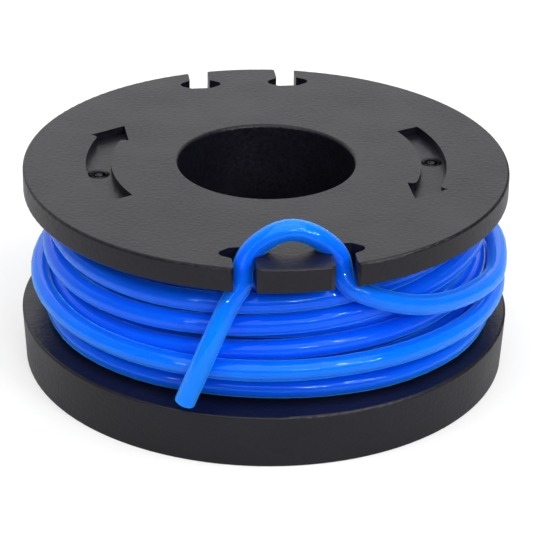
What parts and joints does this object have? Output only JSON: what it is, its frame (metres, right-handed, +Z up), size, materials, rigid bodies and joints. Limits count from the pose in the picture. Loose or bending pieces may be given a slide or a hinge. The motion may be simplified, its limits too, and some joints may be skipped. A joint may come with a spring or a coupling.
{
  "type": "trimmer line spool",
  "caption": "Moulded flanged spool for a grass trimmer head, wound with nylon cutting line whose free end is looped through notches in the upper flange.",
  "frame": {"origin": "on the spool's axis, at the foot of the lower flange", "axes": "+Z up along the bore; -Y towards the pair of notches that holds the line's free end"},
  "size_m": [0.0514, 0.0514, 0.0247],
  "materials": {
    "spool_plastic": "black moulded polypropylene, fine matt grain",
    "line_nylon": "bright blue extruded nylon monofilament, glossy"
  },
  "bodies": {
    "root": {"spool_body": "spool_plastic", "line_winding": "line_nylon", "line_free_end": "line_nylon"}
  },
  "joints": []
}
